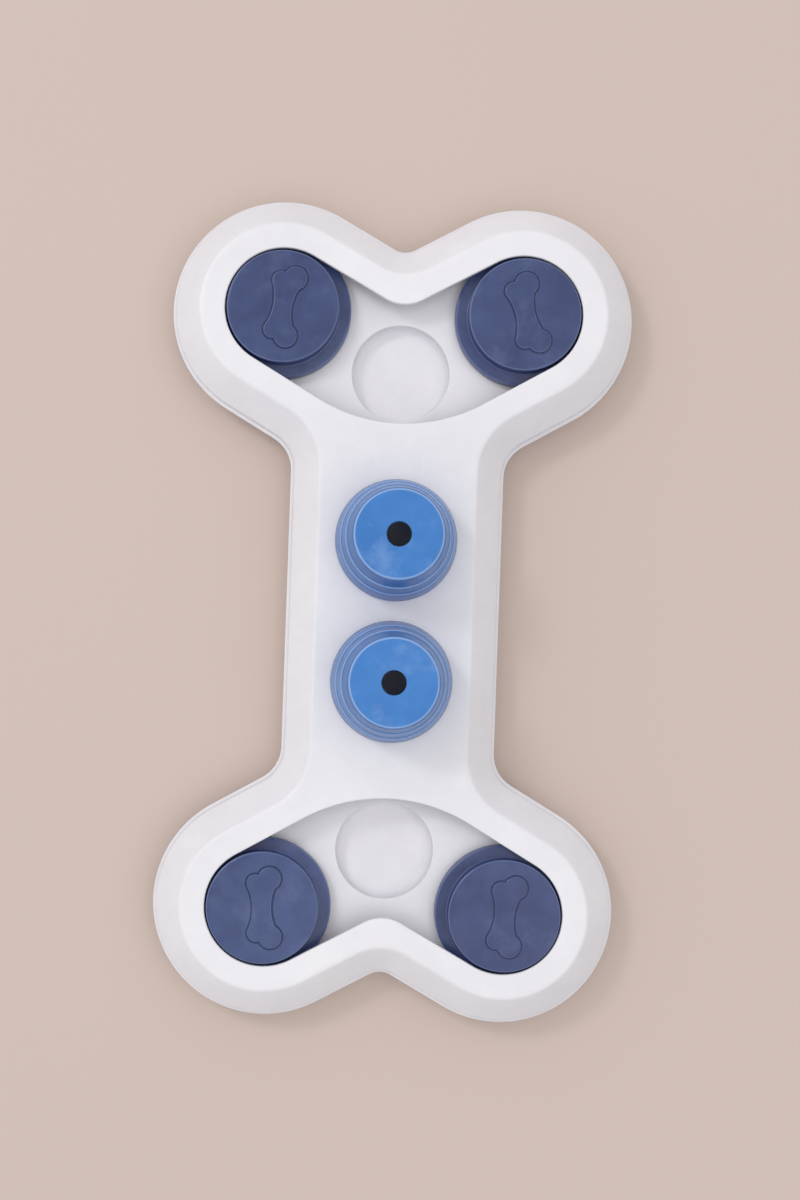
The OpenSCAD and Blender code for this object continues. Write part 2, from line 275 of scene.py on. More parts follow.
# %% [markdown]
# Every finished piece goes through the same steps: its parts become one mesh, points that touch are
# welded, faces are turned outwards, and the piece is told which body of the packed model it rides.
# The packed pieces that it stands for are hidden.

# %% Finish a piece
SHARP = 40                      # degrees at which two faces meet in an edge that stays crisp
WELD = 0.001 * MM               # points that lie closer than this become one


def make_piece(name, material, body, nodes, *meshes):
    """One smooth, closed piece from some meshes. It rides a body and stands for CAD nodes."""
    work = bmesh.new()
    for mesh in meshes:
        work.from_mesh(mesh)
    bmesh.ops.remove_doubles(work, verts=work.verts, dist=WELD)
    bmesh.ops.dissolve_degenerate(work, edges=work.edges, dist=WELD)
    bmesh.ops.recalc_face_normals(work, faces=work.faces)
    loose = sum(not edge.is_manifold for edge in work.edges)
    mesh = bpy.data.meshes.new(name)
    work.to_mesh(mesh)
    work.free()
    mesh.shade_smooth()
    mesh.set_sharp_from_angle(angle=radians(SHARP))
    mesh.materials.append(material)
    piece = bpy.data.objects.new(name, mesh)
    bpy.context.scene.collection.objects.link(piece)
    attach(piece, body)
    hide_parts(*nodes)
    print(f"{name}: {len(mesh.polygons)} faces, {loose} open edges, rides {body}")


print("edges stay crisp from", SHARP, "degrees")

# %% [markdown]
# Materials come before the pieces, because every piece is given one as it is made. A material is a
# small sum of patterns, and a sum is easiest to read as a sum. So one class wraps a node's output:
# adding or multiplying two of them adds the Math node that does it.

# %% Write node sums as Python sums
class Wire:
    """One output of a node. Python's signs on it add nodes to its tree."""

    def __init__(self, socket):
        self.socket = socket
        self.tree = socket.id_data

    def node(self, kind, settings=None, sockets=None, out=0):
        """Adds a node: first its settings, then the values or wires of its inputs."""
        return add_node(self.tree, kind, settings, sockets, out)

    def math(self, operation, *values):
        """Adds a Math node on some wires or numbers."""
        return self.node("ShaderNodeMath", {"operation": operation}, dict(enumerate(values)))

    def __add__(self, other):
        return self.math("ADD", self, other)

    def __sub__(self, other):
        return self.math("SUBTRACT", self, other)

    def __rsub__(self, other):
        return self.math("SUBTRACT", other, self)

    def __mul__(self, other):
        return self.math("MULTIPLY", self, other)

    __radd__, __rmul__ = __add__, __mul__

    def __abs__(self):
        return self.math("ABSOLUTE", self)

    def root(self):
        return self.math("SQRT", self)

    def between(self, low, high):
        """0 below low, 1 above high, and a smooth step from one to the other."""
        sockets = {"Value": self, "From Min": low, "From Max": high}
        return self.node("ShaderNodeMapRange", {"interpolation_type": "SMOOTHSTEP"}, sockets)

    def mix(self, first, second):
        """A colour that goes from first to second as this wire goes from 0 to 1."""
        sockets = {0: self, 6: first, 7: second}
        return self.node("ShaderNodeMix", {"data_type": "RGBA"}, sockets, out=2)


def add_node(tree, kind, settings=None, sockets=None, out=0):
    """Adds a node to a tree. Returns one of its outputs as a wire."""
    node = tree.nodes.new(kind)
    for name, value in (settings or {}).items():
        setattr(node, name, value)
    for name, value in (sockets or {}).items():
        if isinstance(value, Wire):
            tree.links.new(value.socket, node.inputs[name])
        else:
            node.inputs[name].default_value = value
    return Wire(node.outputs[out]) if node.outputs else node


print("a wire can:", ", ".join(name for name in vars(Wire) if name[0] != "_"))

# %% [markdown]
# All the plastics share the same faults, at different strengths: the mould's fine grain, a slow
# drift of tone across a part, dust that settles in patches, and hairline scratches where paws and
# noses push. Patterns are read from Object coordinates, so they stay on the piece when it moves.

# %% Patterns that the plastics share
def start_material(name):
    """A new material for a slot of the record, with its shader node and object coordinates."""
    material = bpy.data.materials.new(name + "_look")
    material["slot"] = name
    material.use_nodes = True
    place = add_node(material.node_tree, "ShaderNodeTexCoord", out="Object")
    return material, shader_of(material), place


def shader_of(material):
    """The node that holds a material's colour, roughness and the rest."""
    return material.node_tree.nodes["Principled BSDF"]


def link(shader, socket, wire):
    """Joins a wire to one of a shader's inputs."""
    shader.id_data.links.new(wire.socket, shader.inputs[socket])


def noise(place, size_mm, detail=2.0, roughness=0.5):
    """Soft patches about size_mm wide. More detail frays their edges."""
    sockets = {"Vector": place, "Scale": 1 / (size_mm * MM), "Detail": detail, "Roughness": roughness}
    return place.node("ShaderNodeTexNoise", None, sockets)


def scratches(place, size_mm, turn):
    """Hairlines: thin level lines of a noise that is stretched along one direction."""
    sockets = {"Vector": place, "Rotation": (0, 0, radians(turn)), "Scale": (1, 0.06, 1)}
    stretched = place.node("ShaderNodeMapping", None, sockets)
    line = abs(noise(stretched, size_mm, 1.0) - 0.5)
    where = noise(place, size_mm * 9, 1.0).between(0.56, 0.68)
    return (1 - line.between(0.0, 0.006)) * where


def bump(shader, height, depth_mm):
    """Lets a pattern tilt the surface as if it were depth_mm high."""
    sockets = {"Height": height, "Distance": depth_mm * MM}
    link(shader, "Normal", height.node("ShaderNodeBump", None, sockets))


print("materials so far:", len(bpy.data.materials))

# %% [markdown]
# Colours are written as a paint program shows them, from 0 to 255. Blender's shaders count light
# instead, so each one is converted once. A plastic then has three: its own colour, a deep one that
# it drifts towards and that painted shade darkens it towards, and a pale one that dust, scratches
# and painted highlights on soft edges lift it towards.

# %% The recipe of a plastic
def paint(red, green, blue):
    """A colour as a screen shows it, turned into the amounts of light that a shader works with."""
    def light(v):
        v = v / 255
        return v / 12.92 if v <= 0.04045 else ((v + 0.055) / 1.055) ** 2.4
    return light(red), light(green), light(blue), 1.0


def plastic(name, colour, deep_and_shade, dust_and_highlight, rough, grain_mm, grain_depth_mm, wear, painted_light=None):
    """Moulded plastic. The last argument gives the painted shade and the painted highlight at each
    place.
    """
    material, shader, place = start_material(name)
    wide = noise(place, 55).between(0.3, 0.7)               # tone that changes across the whole toy
    narrow = noise(place, 7, 3.0).between(0.35, 0.65)       # and within a lobe or a puck
    drift = wide * 0.5 + narrow * 0.25
    dust = noise(place, 16, 6.0, 0.65).between(0.5, 0.72)   # frayed patches, with clean plastic between
    lines = scratches(place, 4.5, 24) + scratches(place, 6, -58)
    # Painted shade and painted highlight, placed by the shape of a cone or a puck.
    painted_shade, painted_highlight = painted_light(place) if painted_light else (0.0, 0.0)
    # The deep colour takes both the random drift of tone and the painted shade.
    body = (drift + painted_shade).mix(colour, deep_and_shade)
    # The pale colour takes dust, scratches and the painted highlight.
    link(shader, "Base Color", (dust * 0.35 + lines * wear + painted_highlight).mix(body, dust_and_highlight))
    link(shader, "Roughness", rough + dust * 0.08 + drift * 0.06 + lines * wear)
    grain = noise(place, grain_mm, 2.0, 0.6)
    bump(shader, grain - lines * wear, grain_depth_mm)
    return material


print("a middle grey on the screen is", round(paint(128, 128, 128)[0], 3), "of the light")

# %% [markdown]
# Two plastics also have light and shade painted on, placed by the shape of their piece. A cone's
# walls get painted shade, deeper in colour than its top, and the edge of its top and of each step
# get a painted highlight, a thin pale ring. A puck has a fine groove at the foot of its raised bone,
# which gets painted shade, and its soft edges get a painted highlight where the surface turns away
# from facing up. The places of this painted light follow from the sizes of the two pieces, so the
# sizes come first.

# %% Sizes of the cones and pucks
cone_low, cone_high = box_mm("cone_upper")
cone_r = (cone_high.x - cone_low.x) / 2
cone_y = (cone_high.y + cone_low.y) / 2
cone_h = cone_high.z - cone_low.z
cone_top_r = cone_r - 6.9       # a cone is drawn in by this much from its foot to its top
puck_low, puck_high = box_mm("puck_top_left")
puck_x, puck_y = -(puck_low.x + puck_high.x) / 2, (puck_low.y + puck_high.y) / 2
knob_r, puck_wall, emblem_h = 21.05, 2, 0.5
knob_top = puck_high.z - emblem_h
face_r = knob_r - 1.6           # inside this circle the puck's face is a floor round its bone
groove_z = knob_top - 0.3
# Corners of a cone's steps: share of its height, millimetres drawn in, and radius.
STEPS = ((0, 0, 0.3), (0.36, 1.8, 0.35), (0.37, 2.3, 0.15), (0.665, 3.8, 0.35), (0.675, 4.3, 0.15))
print(f"cone {cone_r:.1f} mm in radius and {cone_h:.1f} high, knob {knob_r:.1f} mm in radius")

# %% Painted shade and highlights on the cones and pucks
def axes_mm(place):
    """The three coordinates of a place as wires, in millimetres."""
    return [place.node("ShaderNodeSeparateXYZ", None, {0: place}, axis) * (1 / MM) for axis in "XYZ"]


def off_axis(x, y, middle_x, middle_y):
    """How far x, y lies from a piece's axis or from the mirror images of that axis."""
    x, y = abs(x) - middle_x, abs(y) - middle_y
    return (x * x + y * y).root()


def cone_painted_light(place):
    """Painted shade on a cone's walls, and painted highlights as pale rings at the edges of its top and
    steps.
    """
    x, y, z = axes_mm(place)
    radius = off_axis(x, y, 0, cone_y)
    # Painted shade: the walls drift towards the deep colour.
    walls = radius.between(cone_top_r, cone_top_r + 0.4)
    top = z.between(cone_high.z - 0.9, cone_high.z - 0.3)
    # Painted highlight: a pale ring round the top's edge and one at the edge of each step.
    painted_highlight = top * radius.between(cone_top_r - 0.5, cone_top_r - 0.1)
    for share, _, _ in STEPS[1::2]:
        off_edge = abs(z - (cone_low.z + share * cone_h))
        painted_highlight = painted_highlight + (1 - off_edge.between(0.1, 0.45))
    return walls * 0.7, painted_highlight


def puck_painted_light(place):
    """Painted shade in the groove round a raised bone, and a painted highlight on soft edges that turn
    away from facing up.
    """
    x, y, z = axes_mm(place)
    # Painted shade at the groove's depth, inside the face round the bone.
    sunk = z.between(groove_z - 0.6, groove_z - 0.2) * (1 - z.between(knob_top - 0.2, knob_top - 0.02))
    groove_shade = sunk * (1 - off_axis(x, y, puck_x, puck_y).between(face_r - 0.5, face_r - 0.1))
    # Painted highlight where the smooth normal tilts between facing up and facing sideways.
    normal = add_node(place.tree, "ShaderNodeTexCoord", out="Normal")
    up = normal.node("ShaderNodeSeparateXYZ", None, {0: normal}, "Z")
    return groove_shade, up.between(0.1, 0.45) * (1 - up.between(0.8, 0.98)) * (1 - groove_shade)


print("rings rubbed on a cone:", 1 + len(STEPS[1::2]))

# %% [markdown]
# The shells are a fine satin off-white, the tray a shade darker. The pucks are satin navy, and the
# cones a glossy light blue with a weak shine of their own, so that the pale room doesn't wash their
# colour out. Rubber and steel could have recipes of their own, but these feet and screws differ from
# a plastic in little more than their numbers, so they use its recipe.

# %% Plastics, rubber and steel
cover_plastic = plastic("cover_plastic", paint(229, 228, 233), paint(221, 220, 226),
                        paint(234, 233, 236), rough=0.38, grain_mm=0.45, grain_depth_mm=0.012, wear=0.2)
tray_plastic = plastic("tray_plastic", paint(227, 226, 231), paint(219, 218, 224),
                       paint(232, 231, 234), rough=0.42, grain_mm=0.5, grain_depth_mm=0.014, wear=0.25)
# The pucks' and cones' deep colours also carry painted shade, and their pale ones painted highlights.
puck_plastic = plastic("puck_plastic", paint(62, 78, 126), paint(31, 45, 90), paint(94, 107, 148),
                       rough=0.27, grain_mm=0.4, grain_depth_mm=0.01, wear=0.1, painted_light=puck_painted_light)
cone_plastic = plastic("cone_plastic", paint(74, 130, 198), paint(60, 112, 180), paint(140, 170, 218),
                       rough=0.18, grain_mm=1.2, grain_depth_mm=0.001, wear=0.12, painted_light=cone_painted_light)
foot_rubber = plastic("foot_rubber", paint(84, 86, 90), paint(72, 74, 78), paint(128, 126, 122),
                      rough=0.62, grain_mm=0.3, grain_depth_mm=0.03, wear=0.3)
screw_steel = plastic("screw_steel", paint(188, 188, 190), paint(170, 170, 173), paint(198, 196, 190),
                      rough=0.3, grain_mm=0.2, grain_depth_mm=0.01, wear=0.4)
shader_of(cone_plastic).inputs["Specular IOR Level"].default_value = 0.1
shader_of(screw_steel).inputs["Metallic"].default_value = 1.0
print("materials:", [m.name for m in bpy.data.materials])

# %% [markdown]
# Cones, pucks, feet and bosses are turned shapes: one section swept round an axis. That is a rule,
# so Geometry Nodes do it. This tree takes a section drawn as a line, rounds each corner by the radius
# stored on it, and sweeps the line round. Its sizes are named inputs, so one tree serves every turned
# piece here.

# %% Tree 1: a lathe
def new_tree(name, inputs):
    """An empty tree with named inputs. Returns it, and its inputs as wires."""
    tree = bpy.data.node_groups.new(name, "GeometryNodeTree")
    for title, kind in inputs.items():
        tree.interface.new_socket(title, in_out="INPUT", socket_type="NodeSocket" + kind)
    tree.interface.new_socket("Result", in_out="OUTPUT", socket_type="NodeSocketGeometry")
    given = tree.nodes.new("NodeGroupInput")
    return tree, {socket.name: Wire(socket) for socket in given.outputs if socket.name}


def end_tree(geometry, finish):
    """Gives the tree's result: real geometry, no longer instances, with a material."""
    real = geometry.node("GeometryNodeRealizeInstances", None, {"Geometry": geometry})
    done = real.node("GeometryNodeSetMaterial", None, {"Geometry": real, "Material": finish})
    done.node("NodeGroupOutput", None, {"Result": done})


lathe, given = new_tree("lathe", {
    "Section": "Geometry", "Segments": "Int", "Corner steps": "Int", "Place": "Vector",
    "Finish": "Material"})
# The sweep follows a small circle and turns the line over, so the line first moves in and flips.
hub = 0.5 * MM
line = given["Section"].node("GeometryNodeMeshToCurve", None, {"Mesh": given["Section"]})
corner = line.node("GeometryNodeInputNamedAttribute", {"data_type": "FLOAT"}, {"Name": "corner"})
sockets = {"Curve": line, "Radius": corner, "Count": given["Corner steps"], "Limit Radius": True}
line = line.node("GeometryNodeFilletCurve", {"mode": "POLY"}, sockets)
sockets = {"Geometry": line, "Translation": (-hub, 0, 0), "Scale": (1, -1, 1)}
line = line.node("GeometryNodeTransform", None, sockets)
sockets = {"Resolution": given["Segments"], "Radius": hub}
path = line.node("GeometryNodeCurvePrimitiveCircle", None, sockets)
path = path.node("GeometryNodeSetCurveNormal", {"mode": "Z_UP"}, {"Curve": path})
solid = path.node("GeometryNodeCurveToMesh", None, {"Curve": path, "Profile Curve": line})
solid = solid.node("GeometryNodeMergeByDistance", None, {"Geometry": solid, "Distance": 2 * WELD})
solid = solid.node("GeometryNodeTransform", None, {"Geometry": solid, "Translation": given["Place"]})
end_tree(solid, given["Finish"])
print("lathe:", len(lathe.nodes), "nodes")

# %% [markdown]
# Feet, their sockets, screws and screw bosses repeat. The second tree sets one of them on every point
# that it is given.

# %% Tree 2: the same piece at many places
scatter, given = new_tree("scatter", {"Places": "Geometry", "Piece": "Object", "Finish": "Material"})
piece = given["Piece"].node("GeometryNodeObjectInfo", None, {"Object": given["Piece"]}, "Geometry")
sockets = {"Points": given["Places"], "Instance": piece}
end_tree(piece.node("GeometryNodeInstanceOnPoints", None, sockets), given["Finish"])
print("scatter:", len(scatter.nodes), "nodes")

# %% [markdown]
# Blender knows a modifier's inputs by an identifier and people know them by a name, so the first
# helper looks the one up from the other. It reads the finished mesh and lets the modifier go, which
# leaves an ordinary mesh for the later steps.

# %% Run a tree and keep its mesh
def grow(base, tree, values):
    """The plain mesh that a tree makes from a base mesh."""
    obj = bpy.data.objects.new(base.name, base)
    bpy.context.scene.collection.objects.link(obj)
    modifier = obj.modifiers.new(tree.name, "NODES")
    modifier.node_group = tree
    for item in tree.interface.items_tree:
        if item.name in values:
            modifier[item.identifier] = values[item.name]
    view = bpy.context.evaluated_depsgraph_get()
    made = bpy.data.meshes.new_from_object(obj.evaluated_get(view))
    bpy.data.objects.remove(obj)
    return made


def turn_piece(name, section, material, x=0, y=0, closed=False, segments=144, steps=5):
    """A turned mesh about an upright axis. The section's corners are (radius, height, rounding).

    A closed section joins its last corner to its first.
    """
    base = bpy.data.meshes.new(name)
    n = len(section)
    edges = [(i, (i + 1) % n) for i in range(n if closed else n - 1)]
    base.from_pydata([(r * MM, z * MM, 0) for r, z, _ in section], edges, [])
    corners = base.attributes.new("corner", "FLOAT", "POINT")
    corners.data.foreach_set("value", [rounding * MM for _, _, rounding in section])
    place = (x * MM, y * MM, 0.0)
    values = {"Segments": segments, "Corner steps": steps, "Place": place, "Finish": material}
    return grow(base, lathe, values)


def set_out(mesh, places, material):
    """One mesh with a copy of the given one at each place."""
    pattern = bpy.data.objects.new("pattern", mesh)
    bpy.context.scene.collection.objects.link(pattern)
    points = bpy.data.meshes.new(mesh.name)
    points.from_pydata([(x * MM, y * MM, 0) for x, y in places], [], [])
    made = grow(points, scatter, {"Piece": pattern, "Finish": material})
    bpy.data.objects.remove(pattern)
    return made


ring = turn_piece("test", [(3, 0, 0), (5, 0, 0.5), (5, 2, 0.5), (3, 2, 0)], cover_plastic, closed=True)
print("a test ring has", len(ring.polygons), "faces")

# %% [markdown]
# The cover is one shell. From outside it is an upright edge, a sloped band with a rounded crease,
# and a flat top. From inside it is the same form again, one wall thinner. Both are swept round the
# bone. A section starts or ends with a short flat strip wherever a floor will join it, because the
# shading beside a rounded edge only stays even when the floor's large triangles don't reach it.

# %% The cover's walls
cover_wall = 2.4
slope_w, skirt_h = 9.8, 2.4     # width of the sloped band, and height of the upright edge below it
crease_in = rim_step + slope_w
cover_in = rim_step + cover_wall
skirt_top = deck_z + skirt_h
ceiling_z = top_z - cover_wall
inner_skirt_z = skirt_top - cover_wall / 2
inner_crease_in = crease_in + cover_wall / 2

cover = Moulding("cover_shell")
_, top_edge = cover.sweep(bone, [
    (-cover_in, deck_z + 1, 0), (-cover_in, deck_z, 0.3), (-rim_step, deck_z, 0.3),
    (-rim_step, skirt_top, 0.9), (-crease_in, top_z, 2.4), (-crease_in - 2.5, top_z, 0)])
_, ceiling_edge = cover.sweep(bone, [
    (-cover_in, deck_z + 1, 0), (-cover_in, inner_skirt_z, 0.6),
    (-inner_crease_in, ceiling_z, 1), (-inner_crease_in - 2, ceiling_z, 0)])
print("faces in the cover's walls:", len(cover.faces))

# %% [markdown]
# The flat top is cut by two openings and two wells, the hollows that the cones stand over. Under
# each opening's edge runs a guide rib that keeps a puck's flange level. A well has an upper face
# and, one wall further out, a lower one. What is left between the openings and wells is one floor
# on the top and another on the ceiling inside.

# %% Openings and wells of the cover
flange_top = puck_low.z + 5     # a puck's flange is 5 mm thick
rib_setback, rib_t, rib_gap = 1.2, 1.8, 0.3
rib_end = rib_setback + rib_t
well_r, well_depth = cone_r - 6.4, 5
top_holes, ceiling_holes = [], []
for end in (1, -1):
    top, ceiling = cover.sweep(opening(end), [
        (1.4, top_z, 0), (0, top_z, 0.55), (0, ceiling_z, 0.35),
        (rib_setback, ceiling_z, 0.4), (rib_setback, flange_top + rib_gap, 0.3),
        (rib_end, flange_top + rib_gap, 0.3), (rib_end, ceiling_z, 0.4), (rib_end + 0.8, ceiling_z, 0)])
    well = cover.hollow(0, end * cone_y, well_r, top_z, well_depth, edge=0.8, strip=1.6, steps=6)
    outer = well_r + cover_wall
    below = cover.hollow(0, end * cone_y, outer, ceiling_z, well_depth, edge=0.4, strip=1, steps=6)
    top_holes += [top, well]
    ceiling_holes += [ceiling, below]
cover.floor(top_edge, *top_holes)
cover.floor(ceiling_edge, *ceiling_holes)
make_piece("cover_shell", cover_plastic, "housing", ["top_cover"], cover.mesh())

# %% [markdown]
# The tray is the lower shell. A narrow rim of it stands out past the cover, and the dark line where
# the two meet is a real step here. Its deck carries six round dishes: four that the parked pucks
# hide and one in the middle of each channel. From below it is a thin wall again, so the dishes show
# there as round bowls. Each dish is a hollow of the builder, and the deck is a floor round all six.

# %% Base tray
seam_gap, fit = 0.4, 0.1        # between rim and cover, and between pieces that fit in each other
tray_wall, tray_draft, upstand_t = 2.2, 0.8, 1.6
dish_r, dish_depth = corner_r - 3.7, 6.4
flat_y = min(abs(y) for x, y in opening(1)(0))              # where an opening is nearest the waist
mid_dish_y = flat_y + 20.4
dishes = [(x * lobe_x, y * lobe_y) for x in (-1, 1) for y in (-1, 1)]
dishes += [(0, mid_dish_y), (0, -mid_dish_y)]
rim_top = deck_z - seam_gap
rim_low = rim_top - tray_wall
under_z = deck_z - tray_wall
upstand_in = cover_in + fit
skirt_in = rim_step + tray_draft

tray = Moulding("tray_shell")
deck_edge, under_edge = tray.sweep(bone, [
    (-upstand_in - upstand_t - 1, deck_z, 0), (-upstand_in - upstand_t, deck_z, 0.3),
    (-upstand_in - upstand_t, inner_skirt_z, 0.3), (-upstand_in, inner_skirt_z, 0.3),
    (-upstand_in, rim_top, 0.2), (0, rim_top, 0.5), (0, rim_low, 0.4), (-rim_step, rim_low, 0.3),
    (-skirt_in, floor_gap, 0.6), (-skirt_in - tray_wall, floor_gap, 0.6),
    (-rim_step - tray_wall, under_z, 0.8), (-rim_step - tray_wall - 2, under_z, 0)])
deck_holes, under_holes = [], []
for x, y in dishes:
    deck_holes.append(tray.hollow(x, y, dish_r, deck_z, dish_depth, edge=0.5, strip=1, steps=8))
    bowl = tray.hollow(x, y, dish_r + tray_wall, under_z, dish_depth, edge=0.5, strip=0.8, steps=8)
    under_holes.append(bowl)
tray.floor(deck_edge, *deck_holes)
tray.floor(under_edge, *under_holes)
print("dishes:", len(dishes), "faces in the tray's shell:", len(tray.faces))

# %% [markdown]
# Under the deck the tray is stiffened by two long ribs and a cross rib at each end. Screw bosses
# and the sockets of the rubber feet hang from it too. Their places come from the packed feet and
# screws. Only the two screws in the waist need a rule: they stand midway between a guide rib and the
# nearest well.

# %% Places of the screws and feet
screw_low, screw_high = box_mm("case_screws")
screw_r, head_r, head_h = 1.5, 3, 2
head_z = screw_low.z + head_h
screw_x, screw_y = screw_high.x - head_r, screw_high.y - head_r
waist_screw_y = (flat_y - rib_end + cone_y + well_r + cover_wall) / 2
screws = [(x * screw_x, y * screw_y) for x in (-1, 1) for y in (-1, 1)]
screws += [(0, waist_screw_y), (0, -waist_screw_y)]
FEET = ["foot_top_left", "foot_top_right", "foot_bottom_left", "foot_bottom_right",
        "foot_waist_left", "foot_waist_right"]
feet = [((low.x + high.x) / 2, (low.y + high.y) / 2) for low, high in map(box_mm, FEET)]
foot_low, foot_high = box_mm(FEET[0])
foot_r = (foot_high.x - foot_low.x) / 2
print("screws:", len(screws), "feet:", len(feet))

# %% Ribs, bosses and sockets under the tray
inside_deck = deck_z - tray_wall / 2
rib_z, rib_half, rib_x = head_z + 1, 0.8, 11.5
long_half = mid_dish_y - dish_r + 3.4           # a long rib ends in the walls of the middle dishes
cross_half = lobe_x - dish_r - 0.4              # a cross rib ends in the walls of the corner dishes


def rectangle(x, y, half_x, half_y):
    """A function that gives a rectangle, moved outwards by d."""
    return lambda d: [(x + i * (half_x + d), y + j * (half_y + d))
                      for i, j in ((-1, -1), (1, -1), (1, 1), (-1, 1))]


ribs = [rectangle(side * rib_x, 0, rib_half, long_half) for side in (-1, 1)]
ribs += [rectangle(0, side * lobe_y, cross_half, rib_half) for side in (-1, 1)]
for rib in ribs:
    low, high = tray.sweep(rib, [(-rib_half / 2, rib_z, 0), (0, rib_z, 0.3), (0, inside_deck, 0)], 3)
    tray.floor(low)
    tray.floor(high)
bore_r, boss_r, socket_r = screw_r + 0.2, 4.5, foot_r + 2
boss = turn_piece("boss", [
    (bore_r, head_z, 0.2), (boss_r, head_z, 0.3), (boss_r, inside_deck, 0), (bore_r, inside_deck, 0)],
    tray_plastic, closed=True, segments=48, steps=3)
foot_socket = turn_piece("socket", [
    (0, foot_high.z, 0), (foot_r + fit, foot_high.z, 0.2), (foot_r + fit, floor_gap, 0.3),
    (socket_r, floor_gap, 0.4), (socket_r, inside_deck, 0), (0, inside_deck, 0)],
    tray_plastic, segments=72, steps=3)
make_piece("tray_shell", tray_plastic, "housing", ["base_tray"], tray.mesh(),
           set_out(boss, screws, tray_plastic), set_out(foot_socket, feet, tray_plastic))

# %% [markdown]
# A cone is a thin-walled cup turned upside down. It is drawn in at two steps, and has a hole in its
# top that lets the smell of the treats out. Each step leaves a narrow ledge, and the rounded edge of
# each ledge shows in the photograph as a bright ring. A cylinder with inset faces could make it, but
# a section for the lathe keeps each height and radius as a number that can be read and changed.

# %% Cones
cone_wall, scent_r = 1.8, 4.45
brow = 0.7, 1.1                 # width and height of the slant round a cone's top


def cone_section():
    """Up the outer face, down through the scent hole, and down the inner face."""
    outer = [(cone_r - drawn, share * cone_h, c) for share, drawn, c in STEPS]
    outer += [(cone_top_r + brow[0], cone_h - brow[1], 0.8), (cone_top_r, cone_h, 0.5)]
    hole = [(scent_r, cone_h, 0.5), (scent_r, cone_h - cone_wall, 0.4)]
    inner = [(r - cone_wall, z - cone_wall, c) for r, z, c in reversed(outer[1:])]
    foot = [(cone_r - cone_wall, 0, 0.3)]
    return [(r, cone_low.z + z, c) for r, z, c in outer + hole + inner + foot]


for name, side in (("cone_upper", 1), ("cone_lower", -1)):
    shell = turn_piece(name, cone_section(), cone_plastic, y=side * cone_y, closed=True, steps=6)
    make_piece(name + "_shell", cone_plastic, name, [name], shell)

# %% [markdown]
# Every puck carries a raised bone whose right-hand lobes are the larger. Its outline is made of arcs
# too: four lobes and two hollow flanks, which meet where their circles cross. A curve drawn by hand
# would do for one size, but the soft edge needs the outline at several sizes. Here the crossings are
# worked out again for every step outwards, so the outline keeps its form as it grows.

# %% The outline of the raised bone
emblem_half, flank_r = 3.5, 19  # half the width of its waist, and the radius of its hollow flanks
# Middles of the upper lobes, from the middle of the bone, and their radii. The lower ones mirror them.
big, big_r = Vector((2.95, 10.9)), 4.3
small, small_r = Vector((-2.3, 9.3)), 3.3


def crossing(a, a_r, b, b_r, side):
    """Where two circles cross: left (1) or right (-1) of the way from a to b."""
    way = b - a
    along = (way.length_squared + a_r ** 2 - b_r ** 2) / (2 * way.length)
    across = (a_r ** 2 - along ** 2) ** 0.5
    way.normalize()
    return a + way * along + Vector((-way.y, way.x)) * across * side


def arc_between(centre, start, end, n, way):
    """n points of an arc from start, in the turning direction way, that stop short of end."""
    a, b = (atan2(p.y - centre.y, p.x - centre.x) for p in (start, end))
    r = (start - centre).length
    sweep = (b - a) * way % (2 * pi) * way
    turns = [a + sweep * k / n for k in range(n)]
    return [(centre.x + r * cos(t), centre.y + r * sin(t)) for t in turns]


def turned(points, angle):
    """Points turned about the middle by an angle in radians."""
    return [(x * cos(angle) - y * sin(angle), x * sin(angle) + y * cos(angle)) for x, y in points]


def emblem(x, y, turn):
    """A function that gives a raised bone at x, y, moved outwards by d."""
    right, left = Vector((emblem_half + flank_r, 0)), Vector((-emblem_half - flank_r, 0))

    def outline(d):
        waist = [Vector((side * (emblem_half + d), 0)) for side in (1, -1)]
        rise = crossing(right, flank_r - d, big, big_r + d, 1)
        notch = crossing(big, big_r + d, small, small_r + d, -1)
        drop = crossing(left, flank_r - d, small, small_r + d, -1)
        half = arc_between(right, waist[0], rise, 8, -1)
        half += arc_between(big, rise, notch, 20, 1)
        half += arc_between(small, notch, drop, 14, 1)
        half += arc_between(left, drop, waist[1], 8, -1)
        half += [tuple(waist[1])]
        ring = half + [(u, -v) for u, v in reversed(half[1:-1])]
        return [(x + u, y + v) for u, v in turned(ring, radians(turn))]
    return outline


print("points round a raised bone:", len(emblem(0, 0, 0)(0)))

# %% [markdown]
# A puck is a knob on a wider flange, hollow below so that a treat has room to stand under it. The
# flange runs under the edge of the cover, which keeps the puck in. The turned body leaves a round
# gap in its face, and a floor with the raised bone in it closes that gap. Real pucks turn freely in
# their channels, and each bone here lies at the angle that it has in the photograph.

